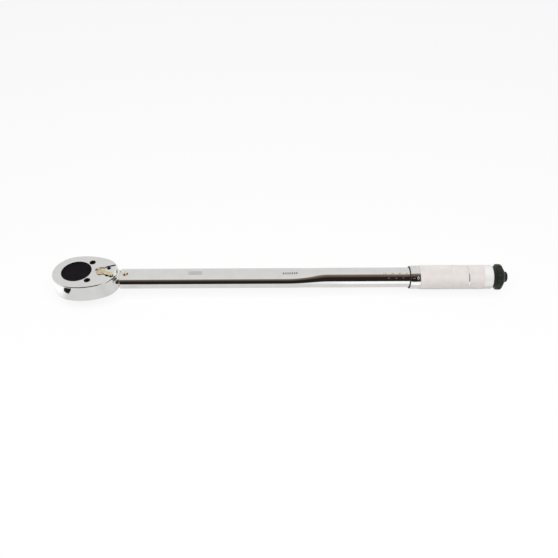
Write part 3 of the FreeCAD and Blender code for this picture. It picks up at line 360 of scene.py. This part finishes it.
def oval(share):
    """The tube's section, flattened at share 0 and round at share 1, as four smooth arcs.

    Gives the half angle of the top arc, then the radius and centre of the side and top arcs.
    """
    wide = FLAT_WIDTH / 2 * (1 - share) + TUBE_RADIUS * share
    tall = FLAT_HEIGHT / 2 * (1 - share) + TUBE_RADIUS * share
    lean = math.radians(FLAT_LEAN * (1 - share) + ROUND_LEAN * share)
    reach = (wide - tall) / (math.sin(lean) + math.cos(lean) - 1)
    side = tall - reach * (1 - math.cos(lean))
    return lean, side, wide - side, side + reach, tall - side - reach


def oval_ring(x, share, inset):
    """One ring of the tube's section, moved inwards by inset."""
    lean, side, side_y, top, top_z = oval(share)
    arcs = [
        (0, top_z, top - inset, -lean, lean, 24),
        (side_y, 0, side - inset, lean, math.pi - lean, 40),
        (0, -top_z, top - inset, math.pi - lean, math.pi + lean, 24),
        (-side_y, 0, side - inset, math.pi + lean, 2 * math.pi - lean, 40),
    ]
    ring = []
    for cy, cz, radius, start, stop, count in arcs:
        for i in range(count):
            angle = start + (stop - start) * i / count
            offset = (x, cy + radius * math.sin(angle), cz + radius * math.cos(angle))
            ring.append(AXIS + Vector(offset) * MM)
    return ring


def swage_share(x):
    """0 where the tube is flattened, 1 where it is round."""
    t = min(1, max(0, (x - SWAGE_FRONT) / (SWAGE_REAR - SWAGE_FRONT)))
    return t * t * (3 - 2 * t)


def barrel():
    """Tube with eased lips, one smooth skin outside and inside."""
    front, rear = TUBE_LOW.x / MM, TUBE_HIGH.x / MM
    stations = [front + LIP_LAST, front + 2, 60, 90, 130, 170, 205, 222]
    # Close rings through the swage and a little past both its ends.
    stations += [SWAGE_FRONT + 1.2 * i for i in range(-3, 44)]
    stations += [300, 345, 380, rear - LIP_LAST]
    outer = [oval_ring(front, 0, LIP_LAST), oval_ring(front + LIP_FIRST, 0, LIP_FIRST)]
    outer += [oval_ring(x, swage_share(x), 0) for x in stations]
    outer += [oval_ring(rear - LIP_FIRST, 1, LIP_FIRST), oval_ring(rear, 1, LIP_LAST)]
    inner = [oval_ring(x, swage_share(x), TUBE_WALL) for x in reversed(stations)]
    rings = outer + [oval_ring(rear, 1, TUBE_WALL - INNER_LIP)] + inner
    rings += [oval_ring(front, 0, TUBE_WALL - INNER_LIP), outer[0]]
    verts, faces = stitched(rings)
    tube = piece("barrel_skin", verts, faces, "tube_chrome", "barrel", 40)
    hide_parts("barrel_tube")


barrel()


# --- grip ----------------------------------------------------------------------------

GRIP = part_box("grip_sleeve")
GRIP_FRONT, GRIP_REAR = GRIP[0].x / MM, GRIP[1].x / MM
# Millimetres: outer radii, then the bore, the seal's seat and the hole in the end.
COLLAR, KNURL, SMOOTH_END = 12.65, 13.2, 12.9
BORE, SEAL_SEAT, END_HOLE = 11.05, 11.95, 5
MOUTH_DEPTH, END_THICKNESS = 2.2, 3.2
# Diamonds round the grip, their length and depth, and the floor of the plain grooves.
DIAMONDS, PITCH, DEPTH = 66, 1.3, 0.34
GROOVE = KNURL - 0.5
COLLAR_GROOVE = COLLAR - 0.2
BANDS = ((370.8, 404.9), (405.9, 422.1), (423.1, 439.5))
BANDS_FRONT, BANDS_REAR = BANDS[0][0], BANDS[-1][1]


def plain(profile):
    """Round rings with as many points as the knurling has crests and valleys."""
    return [round_ring(x, [radius] * (2 * DIAMONDS)) for x, radius in profile]


def grip_collar():
    """Smooth collar with its mouth, up to the first knurled band."""
    rings = plain(
        (
            (GRIP_FRONT + MOUTH_DEPTH, BORE),
            (GRIP_FRONT + MOUTH_DEPTH, SEAL_SEAT),
            (GRIP_FRONT + 0.25, SEAL_SEAT),
            (GRIP_FRONT, SEAL_SEAT + 0.1),
            (GRIP_FRONT + 0.12, SEAL_SEAT + 0.25),
            (GRIP_FRONT + 1.45, COLLAR - 0.07),
            (GRIP_FRONT + 1.75, COLLAR),
            (BANDS_FRONT - 0.5, COLLAR),
            (BANDS_FRONT - 0.3, COLLAR_GROOVE),
            (BANDS_FRONT + 0.2, COLLAR_GROOVE),
        )
    )
    verts, faces = stitched(rings)
    collar = piece("grip_collar", verts, faces, "head_chrome", "grip", 28)


def knurled_rings():
    """Rings of the three bands, each with its row in the diamond pattern or None if plain."""
    rings, rows = plain([(BANDS_FRONT - 0.3, COLLAR_GROOVE)]), [None]
    first = 0
    for start, stop in BANDS:
        count = round((stop - start) / (PITCH / 2))
        rings += plain([(start, KNURL - DEPTH)])
        rows.append(None)
        for row in range(first + 1, first + count):
            x = start + (stop - start) * (row - first) / count
            radii = [KNURL - (0 if (i + row) % 2 else DEPTH) for i in range(2 * DIAMONDS)]
            rings.append(round_ring(x, radii))
            rows.append(row)
        first += count
        groove = [(stop, KNURL - DEPTH), (stop + 0.2, GROOVE)]
        if stop != BANDS_REAR:
            groove.append((stop + 0.8, GROOVE))
        rings += plain(groove)
        rows += [None] * len(groove)
    return rings, rows


def grip():
    """Grip with real diamond knurling and a smooth end, closed round the bore inside."""
    rings, rows = knurled_rings()
    ending = plain(
        (
            (BANDS_REAR + 0.5, SMOOTH_END),
            (GRIP_REAR - 1.3, SMOOTH_END),
            (GRIP_REAR - 0.8, SMOOTH_END - 0.12),
            (GRIP_REAR - 0.35, SMOOTH_END - 0.45),
            (GRIP_REAR - 0.08, SMOOTH_END - 0.9),
            (GRIP_REAR, SMOOTH_END - 1.4),
            (GRIP_REAR, END_HOLE),
            (GRIP_REAR - END_THICKNESS, END_HOLE),
            (GRIP_REAR - END_THICKNESS, BORE),
            (GRIP_FRONT + MOUTH_DEPTH, BORE),
        )
    )
    rows += [None] * len(ending)

    def split(i, j):
        if rows[j] is None or rows[j + 1] is None:
            return 0
        return 1 if (i + rows[j]) % 2 == 0 else 2

    verts, faces = stitched(rings + ending, split)
    sleeve = piece("grip_skin", verts, faces, "grip_chrome", "grip", 28)
    for slot in ("end_chrome", "tube_chrome"):
        sleeve.data.materials.append(MATERIALS[slot])
    for polygon in sleeve.data.polygons:
        x = polygon.center.x / MM
        if x > BANDS_REAR:
            polygon.material_index = 1
        elif BANDS[1][1] < x < BANDS[2][0]:
            polygon.material_index = 2
    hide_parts("grip_sleeve")


grip_collar()
grip()


# --- springs -------------------------------------------------------------------------


def coil(node, body):
    """A spring that its joint shortens from behind, standing for the rigid CAD one."""
    source = nodes[node]
    obj = placed(f"{node}_coil", source.data.copy())
    obj.matrix_world = source.matrix_world
    finished(obj, "spring_steel", 40)
    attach(obj, body)
    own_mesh(obj)
    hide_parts(node)


coil("main_spring", "barrel")
coil("socket_ball_spring", "gear")


# --- scales --------------------------------------------------------------------------


# Millimetres that a mark stands clear of the round chrome and of the flattened chrome.
WRAPPED_LIFT, FLAT_LIFT = 0.012, 0.05


def wrapped(name, flat, turn, radius, x, body, slot):
    """Lays flat outlines on a cylinder: flat x runs along the tube and flat y round it."""
    verts, faces = flat
    points = []
    for along, around in verts:
        angle = turn - around / radius
        r = radius + WRAPPED_LIFT
        offset = Vector((x + along, -r * math.sin(angle), r * math.cos(angle)))
        points.append(AXIS + offset * MM)
    piece(name, points, faces, slot, body, 60)


# A digit's height as a share of the font's size.
CAPITAL_SHARE = 0.7


def text_outline(words, height):
    """Triangles of a number as flat points in millimetres, centred."""
    curve = bpy.data.curves.new("scratch", "FONT")
    curve.body = words
    curve.size = height / CAPITAL_SHARE
    curve.align_x, curve.align_y = "CENTER", "CENTER"
    curve.resolution_u = 3
    curve.offset = 0.03
    holder = placed("scratch", curve)
    mesh = bpy.data.meshes.new_from_object(holder)
    verts = [(v.co.x, v.co.y) for v in mesh.vertices]
    faces = [tuple(p.vertices) for p in mesh.polygons]
    bpy.data.objects.remove(holder)
    bpy.data.curves.remove(curve)
    bpy.data.meshes.remove(mesh)
    return verts, faces


def merged(parts):
    """Several flat outlines, each with its own offset, as one."""
    verts, faces = [], []
    for (points, polygons), (dx, dy) in parts:
        start = len(verts)
        verts += [(x + dx, y + dy) for x, y in points]
        faces += [tuple(start + k for k in polygon) for polygon in polygons]
    return verts, faces


def bar(width, height, steps=6):
    """A thin rectangle, divided so that it can bend."""
    verts, faces = [], []
    for i in range(steps + 1):
        y = height * (i / steps - 0.5)
        verts += [(-width / 2, y), (width / 2, y)]
    for i in range(steps):
        faces.append((2 * i, 2 * i + 1, 2 * i + 3, 2 * i + 2))
    return verts, faces


def main_scale():
    """Torque scale along the tube: a datum line, a mark a turn and numbers."""
    marks, pitch, lowest, rise = 13, 2, 42, 14
    parts = [(bar(25, 0.16, 1), (12, 0))]
    for i in range(marks):
        x = pitch * (marks - 1 - i)
        parts.append((bar(0.2, 1.7 if i % 2 else 2.6), (x, 0)))
        if i % 2 == 0:
            side = 2.6 if i % 4 == 0 else -2.6
            parts.append((text_outline(str(lowest + rise * i), 1.5), (x, side)))
    turn = math.radians(40)
    wrapped("torque_scale", merged(parts), turn, TUBE_RADIUS, 332, "barrel", "mark_etch")


def top_mark(name, parts, x, y):
    """Lays flat outlines on the tube's flattened upper side, centred on x and y."""
    verts, faces = merged(parts)
    points = []
    for along, across in verts:
        *_, top, top_z = oval(swage_share(x + along))
        rise = top_z + math.sqrt(top**2 - (y + across) ** 2)
        points.append(AXIS + Vector((x + along, y + across, rise + FLAT_LIFT)) * MM)
    piece(name, points, faces, "mark_etch", "barrel", 60)


def top_marks():
    """Plain etched lines and ticks on the tube's upper side, with no lettering."""
    lines = [(bar(15, 0.55, 1), (0, 1.9 * i)) for i in (-1, 0, 1)]
    ticks = [(bar(1.6, 3, 1), (2.4 * i, 0)) for i in range(-3, 4)]
    top_mark("mark_lines", lines, 128, 0.3)
    top_mark("mark_ticks", ticks, 230.5, -1)


def grip_scale():
    """Fine scale round the collar, numbered 0 to 15, with a tick at each number."""
    parts = []
    divisions = 16
    verts, faces = bar(0.22, 2.4)
    tick = [(x, y) for y, x in verts], [tuple(reversed(face)) for face in faces]
    for i in range(divisions):
        place = 2 * math.pi * COLLAR * i / divisions
        parts.append((tick, (1.2, place)))
        parts.append((text_outline(str(i), 3), (5.6, place)))
    turn = math.radians(54)
    wrapped("grip_scale", merged(parts), turn, COLLAR, GRIP_FRONT + 2, "grip", "mark_paint")


main_scale()
top_marks()
grip_scale()


# --- stage ---------------------------------------------------------------------------


# The floor lies this far below the drive square's end, in metres, and reaches this far out.
FLOOR_GAP, FLOOR_REACH = 0.0004, 6


def sheet(name, corners, z):
    """One flat polygon lying on the stage."""
    mesh = bpy.data.meshes.new(name)
    mesh.from_pydata([(x, y, z) for x, y in corners], [], [tuple(range(len(corners)))])
    return placed(name, mesh)


def floor():
    """Large floor: evenly pale to the camera, and with its own zones to the chrome."""
    half = FLOOR_REACH
    obj = sheet("floor", [(-half, -half), (half, -half), (half, half), (-half, half)], -FLOOR_GAP)
    s = Shader("floor")
    s.set(Base_Color=(0.12, 0.12, 0.12, 1), Roughness=0.8, Specular_IOR_Level=0.0)
    s.set(Emission_Color=(1, 1, 1, 1))
    rays = s.node("ShaderNodeLightPath")
    where = s.node("ShaderNodeSeparateXYZ")
    s.feed(s.place, where.inputs["Vector"])

    def zones(axis, start, stop, stops):
        """Grey level by place along one axis, in metres."""
        spots = [((at - start) / (stop - start), (level,) * 3) for at, level in stops]
        return s.ramp(s.span(where.outputs[axis], 0, 1, start, stop), spots)

    # What the chrome mirrors: pale by the head's front, brightest before the round tube, and grey
    # along the rest as a painted shadow of the wrench on the floor.
    levels = [(-0.05, 1), (-0.03, 0.6), (0.012, 0.59), (0.03, 0.62), (0.05, 0.54), (0.07, 0.6)]
    near = zones("X", -0.1, 0.1, levels)
    bright = zones("X", 0, 0.6, [(0.24, 0.5), (0.3, 0.97)])
    strip = zones("Y", -0.4, 0, [(-0.05, 1), (-0.028, 0)])
    edge = zones("Y", -0.6, 0, [(-0.36, 0.02), (-0.3, 1)])
    before_tube = s.calculate("MULTIPLY", bright, strip)
    mirrored = s.calculate("MULTIPLY", s.calculate("MAXIMUM", near, before_tube), edge)
    glow = s.node("ShaderNodeMix", data_type="FLOAT")
    to_camera = 0.88
    for socket, source in ((0, rays.outputs["Is Camera Ray"]), (2, mirrored), (3, to_camera)):
        s.feed(source, glow.inputs[socket])
    strength = s.calculate("MULTIPLY", glow.outputs[0], s.dimmed(rays, 0.5))
    s.feed(strength, s.out.inputs["Emission Strength"])
    obj.data.materials.append(s.material)


def dark_card():
    """Small dark card lying before the head, seen only as a wedge mirrored in the head's wall."""
    corners = [(-0.043, -0.041), (-0.031, -0.047), (-0.026, -0.051), (-0.024, -0.07), (-0.047, -0.054)]
    obj = sheet("dark_card", corners, 0.0002)
    s = Shader("dark_card")
    s.set(Base_Color=(0.01, 0.01, 0.01, 1), Roughness=0.9, Specular_IOR_Level=0.0)
    obj.data.materials.append(s.material)
    obj.visible_camera = False
    obj.visible_diffuse = False
    obj.visible_shadow = False


def world():
    """Studio room: bright above and behind, dark in front and at the right, white to the camera."""
    room = bpy.data.worlds.new("room")
    bpy.context.scene.world = room
    room.use_nodes = True
    room.node_tree.nodes.clear()
    w = Nodes(room.node_tree)
    way = w.node("ShaderNodeSeparateXYZ")
    w.feed(w.node("ShaderNodeTexCoord").outputs["Generated"], way.inputs["Vector"])

    def across(stops):
        """Grey level by how far a direction points to the right, from -1 to 1."""
        share = w.calculate("MULTIPLY_ADD", way.outputs["X"], 0.5, 0.5)
        return w.ramp(share, [((spot + 1) / 2, (level,) * 3) for spot, level in stops])

    def blended(kind, first, second, factor):
        made = w.node("ShaderNodeMix", data_type="RGBA", blend_type=kind)
        for source, socket in ((factor, 0), (first, 6), (second, 7)):
            w.feed(source, made.inputs[socket])
        return made.outputs[2]

    # Colour by the angle round X in degrees: 0 is overhead and 90 is level in front.
    stops = [
        (-180, (0.7, 0.7, 0.7)),
        (-90, (0.74, 0.74, 0.74)),
        (-48, (0.72, 0.72, 0.72)),
        (0, (0.74, 0.74, 0.735)),
        (9, (0.76, 0.75, 0.74)),
        (14, (0.4, 0.35, 0.31)),
        (20, (0.2, 0.15, 0.12)),
        (40, (0.1, 0.07, 0.05)),
        (47, (0.02, 0.016, 0.014)),
        (180, (0.012, 0.01, 0.01)),
    ]
    forward = w.calculate("MULTIPLY", way.outputs["Y"], -1)
    angle = w.calculate("ARCTAN2", forward, way.outputs["Z"])
    turn = w.span(angle, 0, 1, -math.pi, math.pi)
    walls = w.ramp(turn, [((degrees + 180) / 360, colour) for degrees, colour in stops])

    # The dark front ends at both sides, and a dark panel stands at the far right.
    ends = across([(-0.72, 1), (-0.66, 0), (0.35, 0), (0.39, 1)])
    panel = across([(0.64, 1), (0.7, 0.02)])
    open_front = blended("MIX", walls, (0.86, 0.86, 0.85, 1), ends)
    rays = w.node("ShaderNodeLightPath")
    lit = w.node("ShaderNodeBackground")
    w.feed(blended("MULTIPLY", open_front, panel, 1), lit.inputs["Color"])
    w.feed(w.dimmed(rays, 0.4), lit.inputs["Strength"])
    seen = w.node("ShaderNodeBackground", Color=(1, 1, 1, 1))
    mix = w.node("ShaderNodeMixShader")
    for socket, source in enumerate((rays.outputs["Is Camera Ray"], lit.outputs[0], seen.outputs[0])):
        w.feed(source, mix.inputs[socket])
    w.feed(mix.outputs[0], w.node("ShaderNodeOutputWorld").inputs["Surface"])


def lamp(name, place, size, watts, aim):
    """Soft rectangular studio light."""
    light = bpy.data.lights.new(name, "AREA")
    light.shape = "RECTANGLE"
    light.size, light.size_y = size
    light.energy = watts
    obj = placed(name, light)
    obj.location = place
    obj.rotation_euler = (Vector(aim) - Vector(place)).to_track_quat("-Z", "Y").to_euler()
    obj.visible_glossy = False


def camera():
    """Camera at the product view: across the wrench's length, looking down on it."""
    lift, roll = math.radians(41.5), math.radians(-0.28)
    away, middle_x, drop = 0.724, 0.2184, 0.0012
    look = Vector((0, math.cos(lift), -math.sin(lift)))
    up = Vector((0, math.sin(lift), math.cos(lift)))
    right = Vector((1, 0, 0))
    target = Vector((middle_x, 0, AXIS.z)) - up * drop
    data = bpy.data.cameras.new("camera")
    data.sensor_width = 36
    data.lens = 42.9
    data.clip_start = 0.01
    basis = Matrix((right, up, -look)).transposed().to_4x4()
    obj = placed("camera", data)
    obj.matrix_world = Matrix.Translation(target - look * away) @ basis @ Matrix.Rotation(roll, 4, "Z")
    bpy.context.scene.camera = obj


floor()
dark_card()
world()
lamp("key", place=(0.22, -0.56, 0.92), size=(1.2, 0.5), watts=10.5, aim=(0.22, 0, 0.02))
camera()
bpy.context.scene.view_settings.view_transform = "Standard"
